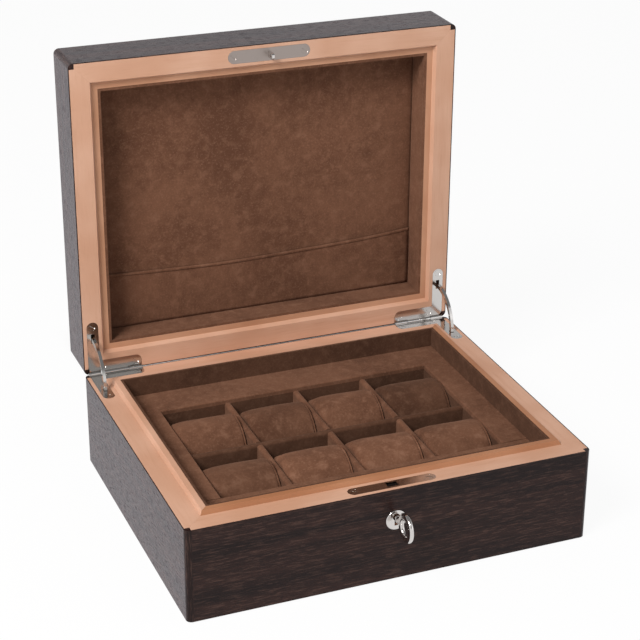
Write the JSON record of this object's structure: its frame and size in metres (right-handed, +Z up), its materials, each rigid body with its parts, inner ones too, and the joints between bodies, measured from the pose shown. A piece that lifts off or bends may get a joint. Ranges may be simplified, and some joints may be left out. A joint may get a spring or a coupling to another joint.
{
  "type": "watch box",
  "caption": "Hinged wooden box with a suede-lined tray of compartments holding soft watch pillows, a padded lid with a pocket, quadrant hinges and a key lock.",
  "frame": {"origin": "middle of the underside, on the surface that the box stands on", "axes": "+Z up, -Y towards the front with the lock, +X to the right; the lid stands open at rest"},
  "size_m": [0.34, 0.3503, 0.3563],
  "materials": {
    "rim_wood": "satin, fine straight grain",
    "dark_wood": "semi-gloss lacquer over dark figured veneer",
    "core_board": "plain, unseen",
    "suede": "brushed nap",
    "felt": "pressed felt",
    "polished_steel": "polished",
    "satin_steel": "satin"
  },
  "bodies": {
    "base": {"base_front_board": "rim_wood", "base_back_board": "rim_wood", "base_left_board": "rim_wood", "base_right_board": "rim_wood", "lip_front_board": "rim_wood", "lip_back_board": "rim_wood", "lip_left_board": "rim_wood", "lip_right_board": "rim_wood", "base_veneers": "dark_wood", "base_corner_posts": "dark_wood", "wall_liners": "suede", "ledge_front_board": "suede", "ledge_back_board": "suede", "ledge_left_board": "suede", "ledge_right_board": "suede", "tray_floor": "suede", "tray_walls": "suede", "row_divider": "suede", "column_dividers": "suede", "bottom_panel": "core_board", "bottom_felt": "felt", "left_base_leaf": "polished_steel", "right_base_leaf": "polished_steel", "hinge_pins": "polished_steel", "lock_faceplate": "polished_steel", "base_leaf_screws": "polished_steel", "lock_screws": "polished_steel", "escutcheon": "polished_steel", "lock_case": "satin_steel"},
    "lid": {"lid_front_board": "rim_wood", "lid_back_board": "rim_wood", "lid_left_board": "rim_wood", "lid_right_board": "rim_wood", "lid_frame_strips": "rim_wood", "lid_liners": "suede", "lid_padded_panel": "suede", "lid_pocket": "suede", "lid_top_panel": "core_board", "lid_top_veneer": "dark_wood", "lid_side_veneers": "dark_wood", "lid_corner_posts": "dark_wood", "left_lid_leaf": "polished_steel", "right_lid_leaf": "polished_steel", "lid_leaf_screws": "polished_steel", "strike_plate": "satin_steel", "strike_hook": "polished_steel", "strike_screws": "polished_steel"},
    "left_stay": {"left_stay": "polished_steel"},
    "right_stay": {"right_stay": "polished_steel"},
    "lock_bolt": {"lock_bolt": "satin_steel"},
    "key": {"key": "polished_steel"},
    "back_pillow_1": {"back_pillow_1": "suede"},
    "back_pillow_2": {"back_pillow_2": "suede"},
    "back_pillow_3": {"back_pillow_3": "suede"},
    "back_pillow_4": {"back_pillow_4": "suede"},
    "front_pillow_1": {"front_pillow_1": "suede"},
    "front_pillow_2": {"front_pillow_2": "suede"},
    "front_pillow_3": {"front_pillow_3": "suede"},
    "front_pillow_4": {"front_pillow_4": "suede"}
  },
  "joints": [
    {"name": "lid_hinge", "type": "hinge", "parent": "base", "child": "lid", "pos_m": [0, 0.1375, 0.0813], "axis": [-1, 0, 0], "range_deg": [-90, 0]},
    {"name": "left_stay_swing", "type": "hinge", "parent": "base", "child": "left_stay", "pos_m": [-0.161, 0.1375, 0.0813], "axis": [-1, 0, 0], "range_deg": [-45, 0]},
    {"name": "right_stay_swing", "type": "hinge", "parent": "base", "child": "right_stay", "pos_m": [0.161, 0.1375, 0.0813], "axis": [-1, 0, 0], "range_deg": [-45, 0]},
    {"name": "key_turn", "type": "hinge", "parent": "base", "child": "key", "pos_m": [0, -0.1375, 0.057], "axis": [0, -1, 0], "range_deg": [0, 90]},
    {"name": "bolt_slide", "type": "slide", "parent": "base", "child": "lock_bolt", "axis": [-1, 0, 0], "range_m": [0, 0.005]},
    {"name": "back_pillow_1_lift", "type": "slide", "parent": "base", "child": "back_pillow_1", "axis": [0, 0, 1], "range_m": [0, 0.08]},
    {"name": "back_pillow_2_lift", "type": "slide", "parent": "base", "child": "back_pillow_2", "axis": [0, 0, 1], "range_m": [0, 0.08]},
    {"name": "back_pillow_3_lift", "type": "slide", "parent": "base", "child": "back_pillow_3", "axis": [0, 0, 1], "range_m": [0, 0.08]},
    {"name": "back_pillow_4_lift", "type": "slide", "parent": "base", "child": "back_pillow_4", "axis": [0, 0, 1], "range_m": [0, 0.08]},
    {"name": "front_pillow_1_lift", "type": "slide", "parent": "base", "child": "front_pillow_1", "axis": [0, 0, 1], "range_m": [0, 0.08]},
    {"name": "front_pillow_2_lift", "type": "slide", "parent": "base", "child": "front_pillow_2", "axis": [0, 0, 1], "range_m": [0, 0.08]},
    {"name": "front_pillow_3_lift", "type": "slide", "parent": "base", "child": "front_pillow_3", "axis": [0, 0, 1], "range_m": [0, 0.08]},
    {"name": "front_pillow_4_lift", "type": "slide", "parent": "base", "child": "front_pillow_4", "axis": [0, 0, 1], "range_m": [0, 0.08]}
  ],
  "couplings": [
    {"joint": "left_stay_swing", "follows": "lid_hinge", "ratio": 0.5},
    {"joint": "right_stay_swing", "follows": "lid_hinge", "ratio": 0.5},
    {"joint": "bolt_slide", "follows": "key_turn", "m_per_rad": 0.00318}
  ]
}
